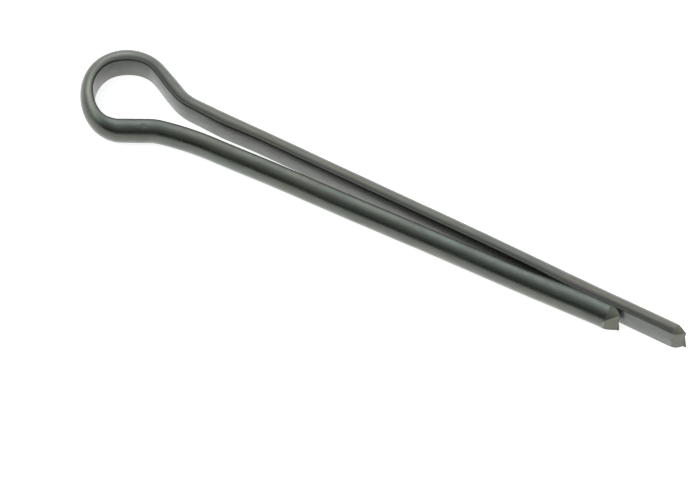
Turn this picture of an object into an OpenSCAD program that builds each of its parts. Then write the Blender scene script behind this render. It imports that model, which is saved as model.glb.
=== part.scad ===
// Cotter pin: one length of half-round wire, folded with its flat side inward.
// The fold is an open eye. Two reverse bends bring the legs together, and each
// leg ends in a chisel tip with a burr, as a pinch cut leaves it.
// The pin lies on its side: legs along +X, eye towards -X, +Z up.
// The origin is on the shank's axis, where the eye stops against the hole's rim.
// The far side of the fold is at +Y and carries the long leg.

/* [Wire] */
// Overall width across the flat side
wire_w = 2.9; // [2:0.1:5]
// Thickness from the flat side to the crown
wire_t = 1.45; // [1:0.05:2.5]
// Rounding of the flat side's two corners
corner_r = 0.12; // [0.1:0.02:0.4]

/* [Eye] */
// Distance from the hole's rim back to the centre of the eye
eye_back = 4.8; // [3:0.1:12]
// Inside radius round the end of the eye
eye_r = 2.7; // [2:0.05:5]
// Angle that this radius reaches from the axis on the far side
far_reach = 16; // [5:1:60]
// Angle that this radius reaches from the axis on the near side
near_reach = 100.5; // [60:0.5:105]
// Inside radius of the rest of the far side
far_r = 2.58; // [1.5:0.02:5]
// Inside radius of the rest of the near side
near_r = 0.6; // [0.4:0.1:3]

/* [Necks] */
// Slope of the eye's far side where its neck begins
far_slope = 26; // [18:0.5:45]
// Slope of the eye's near side where its neck begins
near_slope = 26; // [18:0.5:45]
// Angle through which each side bows on its way from the eye to its neck
bow = 1; // [0.5:0.5:6]
// Radius of the far neck's reverse bend, along the flat side
far_neck_r = 4.8; // [3:0.1:8]
// Radius of the near neck's reverse bend, along the flat side
near_neck_r = 4.6; // [3:0.1:8]
// Slope that the near neck leaves for the slow bend after it
settle_slope = 11.5; // [2:0.5:14]
// Radius of the slow bend in the near leg
settle_r = 25.5; // [10:0.5:40]

/* [Legs] */
// Length of the short leg from the hole's rim to its tip
short_leg = 39.5; // [20:0.1:80]
// How far the long leg reaches past the short one
extension = 5.3; // [2:0.1:12]
// Angle at which each leg closes in on the axis
splay = 1.05; // [0.5:0.05:1.5]
// Gap between the flat sides at the short leg's tip
tip_gap = 0.05; // [0.05:0.05:0.5]

/* [Tips] */
// Length of the rolled-in bevel on the flat side
inner_bevel = 1.05; // [0.6:0.05:2]
// Length of the straight bevel on the crown
outer_bevel = 1.15; // [0.5:0.05:2.5]
// Depth of the chisel edge below the flat side
edge_depth = 0.5; // [0.3:0.05:0.7]
// Width of the torn land along the chisel edge
edge_w = 0.12; // [0.06:0.02:0.3]
// How far the burr stands out at the foot of the long leg's edge
long_burr = 0.33; // [0.1:0.01:0.6]
// How far the burr stands out at the foot of the short leg's edge
short_burr = 0.2; // [0.1:0.01:0.6]
// Height of edge that each burr runs up
burr_h = 0.75; // [0.3:0.05:1]

/* [Hidden] */
$fn = 96;
steel = [0.46, 0.47, 0.45];

// The crown's circle touches both corner roundings and the wire's full thickness
corner_y = wire_w / 2 - corner_r;
crown_r = (pow(corner_y, 2) + pow(wire_t - corner_r, 2) - pow(corner_r, 2))
    / (2 * (wire_t - 2 * corner_r));
crown_x = wire_t - crown_r;

// The rolled bevel is tangent to the flat side and passes through the edge
roll_r = (pow(inner_bevel, 2) + pow(edge_depth, 2)) / (2 * edge_depth);

// The legs' closing angle, moved by less than 0.01 to one whose cosine has six digits,
// because the exact build reads every number with six digits and the legs must meet
// their bends closely
closing = acos(round(1000000 * cos(splay)) / 1000000);

// The bends of each side, from the end of the eye to the leg: [radius, heading].
// The radius is the flat side's, and is negative where the crown is inside the bend.
// The heading is the wire's direction at the end of the bend, where +X is 0.
// The radius r of the side's bow is found below.
function far_bends(r) = [
    [eye_r, 90 - far_reach],
    [far_r, bow - far_slope],
    [r, -far_slope],
    [-far_neck_r, -closing]
];
function near_bends(r) = [
    [eye_r, 90 - near_reach],
    [near_r, bow - near_slope],
    [r, -near_slope],
    [-near_neck_r, -settle_slope],
    [-settle_r, -closing]
];

// From a bend's centre to the flat side, per unit of its radius, at a heading
function across(heading) = [-sin(heading), cos(heading)];

// Centre of bend i, and where the flat side stands at its end
function centre(bends, i) =
    i == 0
        ? [-eye_back, 0]
        : centre(bends, i - 1) + (bends[i - 1][0] - bends[i][0]) * across(bends[i - 1][1]);
function bend_end(bends, i) = centre(bends, i) + bends[i][0] * across(bends[i][1]);
function leg_start(bends) = bend_end(bends, len(bends) - 1);

// How much too far from the axis the leg is where the short leg's tip comes
function miss(bends) =
    leg_start(bends)[1] - tip_gap / 2 - (short_leg - leg_start(bends)[0]) * tan(closing);

// The miss is linear in the bow's radius, which is kept to whole microns
function bow_r(at_0, at_1) = round(1000 * at_0 / (at_0 - at_1)) / 1000;
far = far_bends(bow_r(miss(far_bends(0)), miss(far_bends(1))));
near = near_bends(bow_r(miss(near_bends(0)), miss(near_bends(1))));

// Moves by a whole number of hundredths and then by the rest, so that pieces meet
// closely even when every number is kept to six digits
module place(at) {
    coarse = [round(100 * at[0]) / 100, round(100 * at[1]) / 100, 0];
    translate(coarse)
        translate([at[0], at[1], 0] - coarse)
            children();
}

// Section of the wire: flat side on x = 0, crown towards +x
module wire_section() {
    corner = [corner_r, corner_y];
    touch = [crown_x, 0] + (corner - [crown_x, 0]) * crown_r / (crown_r - corner_r);
    difference() {
        translate([crown_x, 0])
            circle(crown_r);
        translate([-2 * crown_r, -crown_r])
            square([2 * crown_r, 2 * crown_r]);
        for (side = [-1, 1])
            scale([1, side])
                polygon([[0, corner_y], corner, touch, [touch[0], wire_w], [-1, wire_w], [-1, corner_y]]);
    }
    for (side = [-1, 1])
        translate([corner_r, side * corner_y])
            circle(corner_r);
}

// Wire bent round the origin
module arc(r, start, angle) {
    rotate_extrude(angle = angle, start = start)
        translate([abs(r), 0])
            mirror([r > 0 ? 0 : 1, 0])
                wire_section();
}

// Bend i of a side, from the heading where the one before it ends. The last bend's
// angle isn't round, so it is drawn as its round part and the rest
module bend(bends, i) {
    r = bends[i][0];
    from = i == 0 ? 90 : bends[i - 1][1];
    to = bends[i][1];
    whole = floor(100 * (to - from)) / 100;
    place(centre(bends, i))
        if (r > 0) {
            arc(r, to + 90, from - to);
        } else {
            arc(r, from - 90, whole);
            if (to - from - whole > 0.00001)
                arc(r, from - 90 + whole, to - from - whole);
        }
}

// Plan of a leg's end with its edge at x = 0: rolled bevel, land, straight bevel
module tip_plan(len) {
    intersection() {
        polygon([
            [-len, -wire_t],
            [0, -wire_t],
            [0, edge_depth + edge_w],
            [-outer_bevel, wire_t],
            [-outer_bevel, 2 * wire_t],
            [-len, 2 * wire_t]
        ]);
        union() {
            translate([-len, -wire_t])
                square([len - inner_bevel, 4 * wire_t]);
            translate([-inner_bevel, roll_r])
                circle(roll_r);
        }
    }
}

// Burr at the foot of the chisel edge, a thin hooked fin
module burr(reach) {
    sweep_r = (pow(reach, 2) + pow(burr_h, 2)) / (2 * reach);
    foot = -0.45 * wire_w;
    translate([0, edge_depth + 0.9 * edge_w, 0])
        rotate([90, 0, 0])
            linear_extrude(0.8 * edge_w)
                difference() {
                    translate([-edge_depth, foot])
                        square([edge_depth + reach, burr_h]);
                    translate([sweep_r, foot + burr_h])
                        circle(sweep_r);
                }
}

// Straight leg along +x, flat side on y = 0, with its tip and burr
module leg(len, burr_reach) {
    intersection() {
        rotate([90, 0, 90])
            linear_extrude(len)
                wire_section();
        translate([len, 0, -wire_w])
            linear_extrude(2 * wire_w)
                tip_plan(len);
    }
    translate([len, 0, 0])
        burr(burr_reach);
}

// One side of the fold, drawn on the +Y side, with its tip at x = reach
module side(bends, reach, burr_reach) {
    start = leg_start(bends);
    for (i = [0 : len(bends) - 1])
        bend(bends, i);
    place(start)
        rotate(-closing)
            leg((reach - start[0]) / cos(closing), burr_reach);
}

module cotter_pin() {
    color(steel) {
        side(far, short_leg + extension, long_burr);
        mirror([0, 1, 0])
            side(near, short_leg, short_burr);
    }
}

cotter_pin();
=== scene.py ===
"""Cotter pin: the wire's finished surface, floor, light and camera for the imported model."""
import math

import bpy
from mathutils import Matrix, Vector, noise


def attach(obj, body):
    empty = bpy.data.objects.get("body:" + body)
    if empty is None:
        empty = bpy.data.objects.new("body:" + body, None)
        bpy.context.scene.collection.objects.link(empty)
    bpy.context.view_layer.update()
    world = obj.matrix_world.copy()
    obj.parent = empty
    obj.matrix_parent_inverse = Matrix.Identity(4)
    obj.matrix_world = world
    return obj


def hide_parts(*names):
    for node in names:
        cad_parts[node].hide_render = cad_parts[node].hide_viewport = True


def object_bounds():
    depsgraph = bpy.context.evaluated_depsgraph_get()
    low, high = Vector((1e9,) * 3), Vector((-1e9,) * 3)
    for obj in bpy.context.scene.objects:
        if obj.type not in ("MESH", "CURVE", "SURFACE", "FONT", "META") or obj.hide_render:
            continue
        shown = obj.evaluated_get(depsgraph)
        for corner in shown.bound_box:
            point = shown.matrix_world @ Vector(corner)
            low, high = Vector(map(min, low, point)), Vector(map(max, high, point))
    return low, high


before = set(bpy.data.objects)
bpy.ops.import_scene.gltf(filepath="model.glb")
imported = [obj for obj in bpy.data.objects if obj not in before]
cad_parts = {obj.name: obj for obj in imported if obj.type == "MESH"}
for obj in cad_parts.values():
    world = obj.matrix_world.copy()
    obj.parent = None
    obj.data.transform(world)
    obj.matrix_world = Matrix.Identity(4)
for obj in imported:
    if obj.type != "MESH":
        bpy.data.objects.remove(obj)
CAD_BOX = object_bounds()

# Every length below is in millimetres until it is put into a mesh
MM = 0.001

# Wire, as in the part's source
WIRE_W = 2.9
WIRE_T = 1.45
CORNER_R = 0.12

# Eye, necks and legs, as in the part's source
EYE_BACK = 4.8
EYE_R = 2.7
FAR_REACH = 16
NEAR_REACH = 100.5
FAR_R = 2.58
NEAR_R = 0.6
FAR_SLOPE = 26
NEAR_SLOPE = 26
BOW = 1
FAR_NECK_R = 4.8
NEAR_NECK_R = 4.6
SETTLE_SLOPE = 11.5
SETTLE_R = 25.5
SHORT_LEG = 39.5
EXTENSION = 5.3
SPLAY = 1.05
TIP_GAP = 0.05

# Tips, as in the part's source
INNER_BEVEL = 1.05
OUTER_BEVEL = 1.15
EDGE_DEPTH = 0.5
EDGE_W = 0.12
LONG_BURR = 0.33
SHORT_BURR = 0.2
BURR_H = 0.75

# The runs at which the legs end, and how far back from there the bare cut faces reach
SHORT_TIP = 48.9
LONG_TIP = -54.2
SHORT_CUT = (0.85, 0.75)
LONG_CUT = (0.98, 1.08)

# The torn edge: the burr's foot as a share of the wire's width, how ragged the land is
# and how closely, the small tooth at its top, and how the land's rings go out and thin
BURR_FOOT = 0.39
BURR_SHARE = 0.98
RAGGED = 0.02
RAGGED_RATE = 4.1
TOOTH = 0.09
TOOTH_AT = 1.25
TOOTH_SPAN = 0.2
LAND_RINGS = ((0.35, 0.95), (0.7, 0.8), (1, 0.45))

# What bending and drawing did to the wire beyond that: the tight end of the eye is
# thinner, and nothing is dead straight. Runs are distances along the wire from the end
# of the eye, negative on the far side: (run, span, how far towards the crown)
THIN_SHARE = 0.207
THIN_AT = 1.57
THIN_SPAN = 1.96
WAVER = 0.012
FLAT_BOW = 0.05
WIRE_SHIFTS = [
    (-35, 8, 0.045),
    (-12.5, 3.5, -0.04),
    (19, 4, -0.06),
    (32, 11, -0.085),
    (46, 4, -0.1),
]
FLAT_SHIFTS = [
    (-12.9, 1.8, -0.09),
    (-5.5, 1.2, 0.11),
    (-2.8, 1.2, -0.12),
    (1.7, 0.7, -0.06),
    (3.75, 0.8, 0.12),
]

# The cut pressed the legs' ends together: each one's upper edge leans to the other leg
# and is squeezed sharp, and the short leg is a little thinner at its end
LEAN = 0.065
LEAN_AT = 45.5
LEAN_SPAN = 3.7
SQUEEZE_FROM = 40
SQUEEZE_SPAN = 3
SQUEEZE = 0.85
TAPER = 0.02
TAPER_SPAN = 3

# A shallow crease across the flat side, where the cutter's jaw bent the end over
CREASE = 0.022
CREASE_AT = 0.8
CREASE_SPAN = 0.11

# Mesh: spacing of the rings along the wire, and points round each ring
RING_STEP = 0.16
LEG_STEP = 0.24
TIP_STEP = 0.05
TIP_ZONE = 1.35
FLAT_POINTS = 13
SIDE_POINTS = 25
TOP_POINTS = 5
TOP_HALF = 0.12
SIDE_CROWDING = 1.6
SHARP_ANGLE = math.radians(30)

# The roughness of the last bit before the edge: height, reach and rate
EDGE_ROUGH = 0.02
EDGE_ROUGH_SPAN = 0.3
EDGE_ROUGH_RATE = 3.1

# The view: the reference frame is 700 x 503 pixels
VIEW_AZIMUTH = math.radians(26.26)
VIEW_ELEVATION = math.radians(66.06)
VIEW_DISTANCE = 310.7
PHOTO_W = 700
PHOTO_H = 503
MM_PER_PIXEL = 2.9 / 35.5
EYE_PIXEL = (126.69, 95.73)
SENSOR_MM = 36

# Half the floor's side, in metres
FLOOR_HALF = 0.6

RIGHT = Vector((math.cos(VIEW_AZIMUTH), math.sin(VIEW_AZIMUTH), 0))
FAR_SIDE = Vector((-math.sin(VIEW_AZIMUTH), math.cos(VIEW_AZIMUTH), 0))
BACK = Vector((0, 0, math.sin(VIEW_ELEVATION))) - FAR_SIDE * math.cos(VIEW_ELEVATION)


# ---------------------------------------------------------------- the wire's path


def across(heading):
    """From a bend's centre to the flat side, per unit of its radius."""
    turn = math.radians(heading)
    return Vector((-math.sin(turn), math.cos(turn)))


def far_bends(bow_r):
    """The far side's bends from the end of the eye: [radius, heading at its end]."""
    return [
        (EYE_R, 90 - FAR_REACH),
        (FAR_R, BOW - FAR_SLOPE),
        (bow_r, -FAR_SLOPE),
        (-FAR_NECK_R, -SPLAY),
    ]


def near_bends(bow_r):
    """The near side's bends, drawn on the far side as the far ones are."""
    return [
        (EYE_R, 90 - NEAR_REACH),
        (NEAR_R, BOW - NEAR_SLOPE),
        (bow_r, -NEAR_SLOPE),
        (-NEAR_NECK_R, -SETTLE_SLOPE),
        (-SETTLE_R, -SPLAY),
    ]


def centres(bends):
    places = [Vector((-EYE_BACK, 0))]
    for (radius, heading), (next_radius, _) in zip(bends, bends[1:]):
        places.append(places[-1] + (radius - next_radius) * across(heading))
    return places


def leg_start(bends):
    radius, heading = bends[-1]
    return centres(bends)[-1] + radius * across(heading)


def miss(bends):
    """How much too far from the axis the leg is where the short leg ends."""
    start = leg_start(bends)
    return start.y - TIP_GAP / 2 - (SHORT_LEG - start.x) * math.tan(math.radians(SPLAY))


def closed(make_bends):
    """The bends, with the bow's radius that brings the leg to the axis."""
    at_0 = miss(make_bends(0))
    at_1 = miss(make_bends(1))
    return make_bends(at_0 / (at_0 - at_1))


def spaced(length, step):
    count = max(2, math.ceil(length / step))
    return [i / count for i in range(1, count + 1)]


def side_stations(make_bends, reach):
    """Where the flat side runs on one side: (place, heading, distance from the tip or None)."""
    bends = closed(make_bends)
    stations = [(Vector((-EYE_BACK - EYE_R, 0)), 90, None)]
    heading = 90
    for place, (radius, end) in zip(centres(bends), bends):
        arc = abs(math.radians(heading - end)) * (abs(radius) + WIRE_T / 2)
        for share in spaced(arc, RING_STEP):
            turn = heading + (end - heading) * share
            stations.append((place + radius * across(turn), turn, None))
        heading = end
    start = leg_start(bends)
    length = (reach - start.x) / math.cos(math.radians(SPLAY))
    along = Vector((math.cos(math.radians(SPLAY)), -math.sin(math.radians(SPLAY))))
    body = length - TIP_ZONE
    runs = [share * body for share in spaced(body, LEG_STEP)]
    runs += [body + share * TIP_ZONE for share in spaced(TIP_ZONE, TIP_STEP)]
    for run in runs:
        stations.append((start + along * run, -SPLAY, length - run))
    return stations


# ---------------------------------------------------------------- the wire's section


CORNER_Y = WIRE_W / 2 - CORNER_R
CROWN_R = (CORNER_Y**2 + (WIRE_T - CORNER_R) ** 2 - CORNER_R**2) / (2 * (WIRE_T - 2 * CORNER_R))
CROWN_X = WIRE_T - CROWN_R
TOUCH = math.atan2(CORNER_Y, CORNER_R - CROWN_X)
CORNER_ARC = CORNER_R * (math.pi - TOUCH)
ROLL_R = (INNER_BEVEL**2 + EDGE_DEPTH**2) / (2 * EDGE_DEPTH)


def outline(run):
    """Point (depth, height) on the section, a distance from the flat side's end to the crown."""
    if run < CORNER_ARC:
        turn = math.pi - run / CORNER_R
        return CORNER_R + CORNER_R * math.cos(turn), CORNER_Y + CORNER_R * math.sin(turn)
    turn = TOUCH - (run - CORNER_ARC) / CROWN_R
    return CROWN_X + CROWN_R * math.cos(turn), CROWN_R * math.sin(turn)


def run_at(depth):
    """How far round the section from the flat side's end a depth lies."""
    if depth <= 0:
        return 0
    corner_end = CORNER_R + CORNER_R * math.cos(TOUCH)
    if depth < corner_end:
        return CORNER_R * (math.pi - math.acos(depth / CORNER_R - 1))
    return CORNER_ARC + CROWN_R * (TOUCH - math.acos(min(1, (depth - CROWN_X) / CROWN_R)))


TOP_RUN = CORNER_ARC + CROWN_R * (TOUCH - math.asin(TOP_HALF / CROWN_R))


def section(floor_depth, roof_depth):
    """One ring between two depths: flat side, corner and crown, top or bevel, and back."""
    first = run_at(floor_depth)
    last = min(TOP_RUN, run_at(roof_depth))
    half = outline(first)[1] if floor_depth > 0 else CORNER_Y
    points = []
    for i in range(FLAT_POINTS):
        points.append((floor_depth, half * (2 * i / FLAT_POINTS - 1)))
    side = []
    for i in range(SIDE_POINTS):
        # Points crowd towards the rounded corner, where the surface turns fastest
        share = (i / (SIDE_POINTS - 1)) ** SIDE_CROWDING
        side.append(outline(first + (last - first) * share))
    points += side
    top_depth, top_half = side[-1]
    for i in range(1, TOP_POINTS + 1):
        height = top_half * (1 - 2 * i / (TOP_POINTS + 1))
        crown = CROWN_X + math.sqrt(CROWN_R**2 - height**2)
        points.append((max(top_depth, min(crown, roof_depth)), height))
    points += [(depth, -height) for depth, height in reversed(side[1:])]
    return points


def bevels(left):
    """Depths of the rolled bevel and of the crown's bevel, at a distance from the edge."""
    floor_depth = 0
    if left < INNER_BEVEL:
        floor_depth = ROLL_R - math.sqrt(ROLL_R**2 - (INNER_BEVEL - left) ** 2)
    roof_depth = WIRE_T
    if left < OUTER_BEVEL:
        foot = EDGE_DEPTH + EDGE_W
        roof_depth = foot + (WIRE_T - foot) * left / OUTER_BEVEL
    return floor_depth, roof_depth


def soft_noise(*place):
    return noise.noise(Vector(place))


def torn(height, burr_reach, seed):
    """How far the torn edge stands out at a height: a burr at its foot and a small tooth
    at its top, ragged between them, and never further than the burr."""
    hook = 0
    up = max(height + BURR_FOOT * WIRE_W, 0)
    if up < BURR_H:
        sweep = (burr_reach**2 + BURR_H**2) / (2 * burr_reach)
        hook = sweep - math.sqrt(sweep**2 - (BURR_H - up) ** 2)
    ragged = RAGGED + RAGGED * soft_noise(height * RAGGED_RATE, seed, 0.5)
    ragged += TOOTH * math.exp(-(((height - TOOTH_AT) / TOOTH_SPAN) ** 2))
    return BURR_SHARE * hook + ragged * (1 - hook / burr_reach)


# ---------------------------------------------------------------- the wire's mesh


# Small nicks from handling: distance along the wire, side of the section (depth, height),
# radius and depth, where the long leg has negative distances
NICKS = [
    (7.0, 0.64, 1.30, 0.17, 0.035),
    (-28.3, 0.00, -0.05, 0.16, 0.022),
    (-29.1, 0.00, 0.15, 0.13, 0.020),
    (-39.2, 0.75, 1.25, 0.14, 0.020),
    (35.6, 0.86, 1.17, 0.15, 0.030),
    (27.5, 1.00, 1.05, 0.12, 0.016),
    (47.1, 1.17, 0.86, 0.14, 0.024),
    (17.0, 1.30, 0.60, 0.18, 0.015),
    (-12.5, 0.00, -0.40, 0.20, 0.014),
    (21.4, 0.00, 0.70, 0.20, 0.018),
    (-19.0, 1.38, -0.35, 0.18, 0.022),
    (11.5, 0.90, -1.15, 0.20, 0.020),
    (-46.5, 1.30, -0.60, 0.16, 0.020),
]


def swell(shifts, run):
    """Sum of bell-shaped shifts along the wire."""
    return sum(amount * math.exp(-(((run - at) / span) ** 2)) for at, span, amount in shifts)


def thinning(run):
    bend = THIN_SHARE * math.exp(-(((run - THIN_AT) / THIN_SPAN) ** 2))
    return 1 - bend - TAPER * math.exp(-(((run - SHORT_TIP) / TAPER_SPAN) ** 2))


def squeezed(run, depth, height):
    """A section's point where the upper edge is squeezed sharp, and how far it is."""
    amount = 1 - math.exp(-((max(0, abs(run) - SQUEEZE_FROM) / SQUEEZE_SPAN) ** 2))
    if height <= 0:
        return depth, height, 0
    across_gap = depth - CORNER_R
    up = height - CORNER_Y
    if across_gap < 0 < up:
        squarer = CORNER_R / max(-across_gap, up) - 1
        across_gap *= 1 + SQUEEZE * amount * squarer
        up *= 1 + SQUEEZE * amount * squarer
        depth, height = CORNER_R + across_gap, CORNER_Y + up
    return depth, height, amount


def worked(run, depth, height):
    """A section's point after bending, drawing and handling."""
    depth, height, amount = squeezed(run, depth, height)
    lump = soft_noise(run * 0.31, depth * 0.7, height * 0.7)
    inside = 1 - depth / WIRE_T
    bowed = FLAT_BOW * (1 - amount) * (height / CORNER_Y) ** 2
    depth *= thinning(run) * (1 - 0.5 * WAVER * (1 + lump))
    depth += inside * (bowed + swell(FLAT_SHIFTS, run))
    depth += swell(WIRE_SHIFTS, run)
    depth -= LEAN * height / WIRE_T * math.exp(-(((abs(run) - LEAN_AT) / LEAN_SPAN) ** 2))
    height *= 1 - 0.5 * WAVER * (1 + soft_noise(run * 0.23, 7.3, height * 0.6))
    for nick_run, nick_depth, nick_height, radius, deepness in NICKS:
        gap = Vector((run - nick_run, depth - nick_depth, height - nick_height))
        if gap.length < 3 * radius:
            push = deepness * math.exp(-((gap.length / radius) ** 2))
            towards = Vector((WIRE_T / 2 - depth, -height)).normalized()
            depth += push * towards.x
            height += push * towards.y
    return depth, height


def side_rings(make_bends, reach, burr_reach, way):
    """Rings on one side from the end of the eye out: [(x, y, z, run, depth, height)].

    way is 1 on the far side, where runs are negative, and -1 on the near side.
    """
    rings = []
    run = 0
    last_place = None
    for place, heading, left in side_stations(make_bends, reach):
        if last_place is not None:
            run += (place - last_place).length
        last_place = place
        normal = across(heading)
        ahead = Vector((normal.y, -normal.x))
        cut = bevels(left) if left is not None else (0, WIRE_T)
        ring = []
        for depth, height in section(*cut):
            real_depth, real_height = worked(-way * run, depth, height)
            if left is not None:
                crease = math.exp(-(((left - CREASE_AT) / CREASE_SPAN) ** 2))
                real_depth += CREASE * crease * (1 - depth / WIRE_T)
                rough = EDGE_ROUGH * max(0, 1 - left / EDGE_ROUGH_SPAN)
                real_depth += rough * soft_noise(height * EDGE_ROUGH_RATE, way, left * 4)
            at = place + normal * real_depth
            ring.append((at.x, way * at.y, real_height, -way * run, depth, height))
        rings.append(ring)
    # The torn land: the edge's ring again, pulled out and thinner each time
    edge = section(*bevels(0))
    middle = EDGE_DEPTH + EDGE_W / 2
    for share, keep in LAND_RINGS:
        ring = []
        for depth, height in edge:
            out = share * torn(height, burr_reach, 3.1 * way)
            kept = middle + (depth - middle) * keep
            real_depth, real_height = worked(-way * run, kept, height)
            at = last_place + ahead * out + normal * real_depth
            ring.append((at.x, way * at.y, real_height, -way * (run + out), kept, height))
        rings.append(ring)
    return rings


def wire():
    """The whole pin as one closed mesh that follows the wire from tip to tip."""
    far = side_rings(far_bends, SHORT_LEG + EXTENSION, LONG_BURR, 1)
    near = side_rings(near_bends, SHORT_LEG, SHORT_BURR, -1)
    rings = list(reversed(far)) + near[1:]
    count = len(rings[0])
    verts = [Vector(point[:3]) * MM for ring in rings for point in ring]
    faces = [tuple(range(count))]
    for i in range(len(rings) - 1):
        for j in range(count):
            k = (j + 1) % count
            a = i * count
            b = a + count
            faces.append((a + j, b + j, b + k, a + k))
    end = (len(rings) - 1) * count
    faces.append(tuple(end + j for j in reversed(range(count))))
    mesh = bpy.data.meshes.new("bent_wire")
    mesh.from_pydata(verts, [], faces)
    unbent = mesh.attributes.new("unbent", "FLOAT_VECTOR", "POINT")
    places = [value for ring in rings for point in ring for value in point[3:]]
    unbent.data.foreach_set("vector", places)
    mesh.polygons.foreach_set("use_smooth", [True] * len(mesh.polygons))
    mesh.set_sharp_from_angle(angle=SHARP_ANGLE)
    piece = bpy.data.objects.new("bent_wire", mesh)
    bpy.context.scene.collection.objects.link(piece)
    mesh.materials.append(zinc_steel())
    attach(piece, "root")
    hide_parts("cotter_pin")
    return piece


# ---------------------------------------------------------------- materials


class Graph:
    """A cleared node tree, with a short call for adding a node and its links."""

    def __init__(self, owner):
        owner.use_nodes = True
        self.tree = owner.node_tree
        self.tree.nodes.clear()

    def add(self, kind, inputs=None, **settings):
        node = self.tree.nodes.new(kind)
        for name, value in settings.items():
            setattr(node, name, value)
        for name, value in (inputs or {}).items():
            if isinstance(value, bpy.types.NodeSocket):
                self.tree.links.new(value, node.inputs[name])
            else:
                node.inputs[name].default_value = value
        return node

    def math(self, operation, *values):
        node = self.add("ShaderNodeMath", dict(enumerate(values)), operation=operation)
        return node.outputs[0]

    def vector(self, operation, *values):
        return self.add("ShaderNodeVectorMath", dict(enumerate(values)), operation=operation)

    def ramp(self, value, low, high, to_low=0.0, to_high=1.0):
        inputs = {"Value": value, "From Min": low, "From Max": high}
        inputs.update({"To Min": to_low, "To Max": to_high})
        node = self.add("ShaderNodeMapRange", inputs, interpolation_type="SMOOTHSTEP")
        return node.outputs["Result"]

    def noise(self, vector, stretch, detail, roughness=0.5):
        """Noise from 0 to 1 whose cells are 1 / stretch millimetres along each axis."""
        scaled = self.vector("MULTIPLY", vector, stretch).outputs["Vector"]
        inputs = {"Vector": scaled, "Scale": 1, "Detail": detail, "Roughness": roughness}
        return self.add("ShaderNodeTexNoise", inputs).outputs["Fac"]

    def mix(self, share, first, second, blend="MIX"):
        node = self.add("ShaderNodeMix", data_type="RGBA", blend_type=blend)
        for socket, value in ((0, share), (6, first), (7, second)):
            if isinstance(value, bpy.types.NodeSocket):
                self.tree.links.new(value, node.inputs[socket])
            else:
                node.inputs[socket].default_value = value
        return node.outputs[2]


def grey(value):
    return value, value, value, 1


def zinc_steel():
    """Drawn steel wire with a dull zinc coat: fine lines along it, mottling, painted shade at
    the corners and on the flat side.
    """
    material = bpy.data.materials.new("zinc_steel")
    graph = Graph(material)
    place = graph.add("ShaderNodeAttribute", attribute_name="unbent").outputs["Vector"]
    parts = graph.add("ShaderNodeSeparateXYZ", {"Vector": place})
    depth = parts.outputs["Y"]
    height = parts.outputs["Z"]
    lines = graph.noise(place, (0.22, 7, 7), 3, 0.6)
    mottle = graph.noise(place, (0.7, 1.1, 1.1), 4, 0.55)
    grain = graph.noise(place, (11, 13, 13), 2, 0.6)
    stain = graph.noise(place, (0.16, 0.5, 0.5), 3, 0.5)
    specks = graph.noise(place, (4.3, 4.9, 4.9), 1, 0.4)

    # Painted shade: the flat side is darkened towards its top edge and both corners are
    # darkened, standing in for the shade and dark reflections there; the corners are also
    # rougher
    flat = graph.ramp(depth, 0.04, 0.16, 1.0, 0.0)
    flat_painted_shade = graph.math("MULTIPLY", flat, graph.ramp(height, -1.0, 1.45, 0.27, 0.62))
    near_edge = graph.ramp(graph.math("ABSOLUTE", height), 1.22, 1.36)
    corner = graph.math("MULTIPLY", graph.ramp(depth, 0.08, 0.22, 1.0, 0.0), near_edge)

    # The cut ends are bare and evenly rough
    run = parts.outputs["X"]
    waver = graph.math("MULTIPLY_ADD", mottle, 0.3, run)
    cut = graph.ramp(waver, SHORT_TIP - SHORT_CUT[0], SHORT_TIP - SHORT_CUT[1])
    long_cut = graph.ramp(waver, LONG_TIP + LONG_CUT[0], LONG_TIP + LONG_CUT[1], 1.0, 0.0)
    cut = graph.math("ADD", cut, long_cut)

    cool = (0.159, 0.168, 0.153, 1)
    warm = (0.168, 0.168, 0.147, 1)
    colour = graph.mix(graph.ramp(stain, 0.38, 0.66), cool, warm)
    shade = graph.mix(graph.ramp(mottle, 0.3, 0.7), grey(0.91), grey(1.07))
    colour = graph.mix(1.0, colour, shade, "MULTIPLY")
    drawn = graph.mix(graph.ramp(lines, 0.3, 0.7), grey(0.95), grey(1.05))
    colour = graph.mix(1.0, colour, drawn, "MULTIPLY")
    # Painted shade: the flat side darkened towards its top edge
    colour = graph.mix(flat_painted_shade, colour, grey(0.03))
    # Painted shade along both corners, where the surface turns
    colour = graph.mix(graph.math("MULTIPLY", corner, 0.15), colour, grey(0.03))
    colour = graph.mix(cut, colour, (0.146, 0.150, 0.118, 1))
    rubbed = graph.ramp(specks, 0.72, 0.80, 0.0, 0.6)
    colour = graph.mix(rubbed, colour, (0.30, 0.31, 0.28, 1))

    rough = graph.ramp(mottle, 0.3, 0.7, 0.31, 0.25)
    rough = graph.math("ADD", rough, graph.ramp(lines, 0.3, 0.7, -0.03, 0.03))
    rough = graph.math("MULTIPLY_ADD", corner, 0.18, rough)
    rough = graph.math("MULTIPLY_ADD", cut, 0.22, rough)

    relief = graph.math("MULTIPLY_ADD", grain, 0.5, lines)
    bump = graph.add("ShaderNodeBump", {"Strength": 1, "Distance": 0.0000022, "Height": relief})
    shader = graph.add("ShaderNodeBsdfPrincipled", {
        "Base Color": colour,
        "Metallic": 1,
        "Roughness": rough,
        "Normal": bump.outputs["Normal"],
    })
    out = graph.add("ShaderNodeOutputMaterial")
    graph.tree.links.new(shader.outputs["BSDF"], out.inputs["Surface"])
    return material


# ---------------------------------------------------------------- floor, light, camera


# Soft lights round the pin: (turn from the zenith towards the far side, share towards
# the right, tightness, strength in red, green and blue). Between them the room is dark
LIGHTS = [
    (-2, -0.12, 12, (1.43, 1.56, 1.60)),
    (90, -0.18, 7, (2.40, 2.40, 2.40)),
    (36, -0.74, 12, (2.55, 2.70, 2.62)),
    (74, 0.84, 9, (2.75, 2.75, 2.70)),
    (-24, -0.86, 20, (1.05, 1.15, 1.12)),
    (-38, -0.1, 7, (0.33, 0.36, 0.33)),
]

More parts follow.
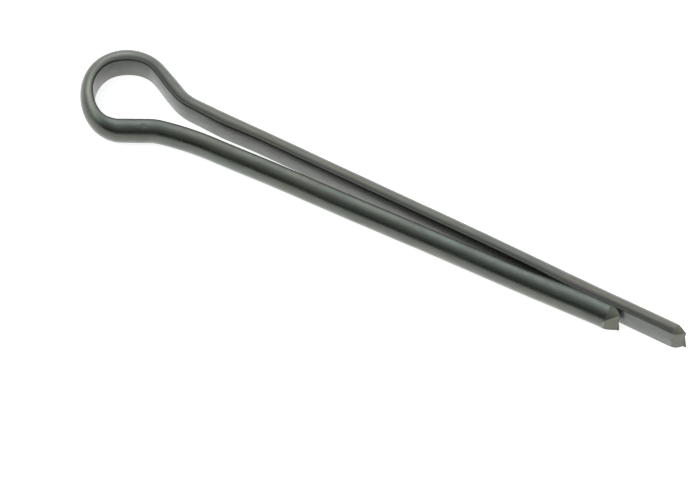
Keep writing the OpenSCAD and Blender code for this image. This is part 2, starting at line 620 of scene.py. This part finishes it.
# What lifts the floor to white: for the camera, and in the metal, where the lift falls
# as the floor is seen more aslant
SEEN_LIFT = 0.8
GLOSSY_LIFT = 0.95
GLOSSY_FALL = 0.85


def room():
    """Soft studio light, the same for every ray but the camera's, which sees white."""
    world = bpy.data.worlds.new("studio")
    bpy.context.scene.world = world
    graph = Graph(world)
    way = graph.add("ShaderNodeTexCoord").outputs["Generated"]
    light = (0, 0, 0)
    for turn, share, tightness, strength in LIGHTS:
        turned = math.radians(turn)
        upright = FAR_SIDE * math.sin(turned) + Vector((0, 0, math.cos(turned)))
        place = RIGHT * share + upright * math.sqrt(1 - share**2)
        dot = graph.vector("DOT_PRODUCT", way, place).outputs["Value"]
        fall = graph.math("EXPONENT", graph.math("MULTIPLY_ADD", dot, tightness, -tightness))
        light = graph.vector("MULTIPLY_ADD", fall, strength, light).outputs["Vector"]
    seen = graph.add("ShaderNodeLightPath").outputs["Is Camera Ray"]
    back = graph.add("ShaderNodeBackground", {"Color": graph.mix(seen, light, (1, 1, 1, 1))})
    out = graph.add("ShaderNodeOutputWorld")
    graph.tree.links.new(back.outputs["Background"], out.inputs["Surface"])


def floor():
    """White floor, lifted to white for the camera and in the metal, so that its shadow shows."""
    low = CAD_BOX[0].z
    signs = ((-1, -1), (1, -1), (1, 1), (-1, 1))
    corners = [(x * FLOOR_HALF, y * FLOOR_HALF, low) for x, y in signs]
    mesh = bpy.data.meshes.new("floor")
    mesh.from_pydata(corners, [], [(0, 1, 2, 3)])
    piece = bpy.data.objects.new("floor", mesh)
    bpy.context.scene.collection.objects.link(piece)
    material = bpy.data.materials.new("floor_white")
    graph = Graph(material)
    path = graph.add("ShaderNodeLightPath")
    rays = (path.outputs["Is Glossy Ray"], path.outputs["Is Transmission Ray"])
    shiny = graph.math("MAXIMUM", *rays)
    aside = graph.add("ShaderNodeLayerWeight", {"Blend": 0.5}).outputs["Facing"]
    glossy = graph.math("MULTIPLY_ADD", aside, -GLOSSY_FALL, GLOSSY_LIFT)
    glossy = graph.math("MULTIPLY", shiny, glossy)
    seen = graph.math("MULTIPLY_ADD", path.outputs["Is Camera Ray"], SEEN_LIFT, glossy)
    matt = graph.add("ShaderNodeBsdfDiffuse", {"Color": (0.85, 0.85, 0.85, 1)})
    lift = graph.add("ShaderNodeEmission", {"Strength": seen})
    both = graph.add("ShaderNodeAddShader", {0: matt.outputs[0], 1: lift.outputs[0]})
    out = graph.add("ShaderNodeOutputMaterial")
    graph.tree.links.new(both.outputs[0], out.inputs["Surface"])
    mesh.materials.append(material)


def camera():
    """Looks down on the lying pin, with the eye where the reference frame has it."""
    up = BACK.cross(RIGHT)
    to_right = ((PHOTO_W - 1) / 2 - EYE_PIXEL[0]) * MM_PER_PIXEL
    to_down = ((PHOTO_H - 1) / 2 - EYE_PIXEL[1]) * MM_PER_PIXEL
    target = Vector((-EYE_BACK, 0, 0)) + RIGHT * to_right - up * to_down
    lens = bpy.data.cameras.new("camera")
    lens.sensor_width = SENSOR_MM
    lens.lens = SENSOR_MM * VIEW_DISTANCE / (PHOTO_W * MM_PER_PIXEL)
    lens.clip_start = 0.1 * VIEW_DISTANCE * MM
    lens.clip_end = 10 * VIEW_DISTANCE * MM
    piece = bpy.data.objects.new("camera", lens)
    turn = Matrix((RIGHT, up, BACK)).transposed().to_4x4()
    piece.matrix_world = Matrix.Translation((target + BACK * VIEW_DISTANCE) * MM) @ turn
    bpy.context.scene.collection.objects.link(piece)
    bpy.context.scene.camera = piece


bpy.context.scene.view_settings.view_transform = "Standard"
room()
floor()
camera()
wire()
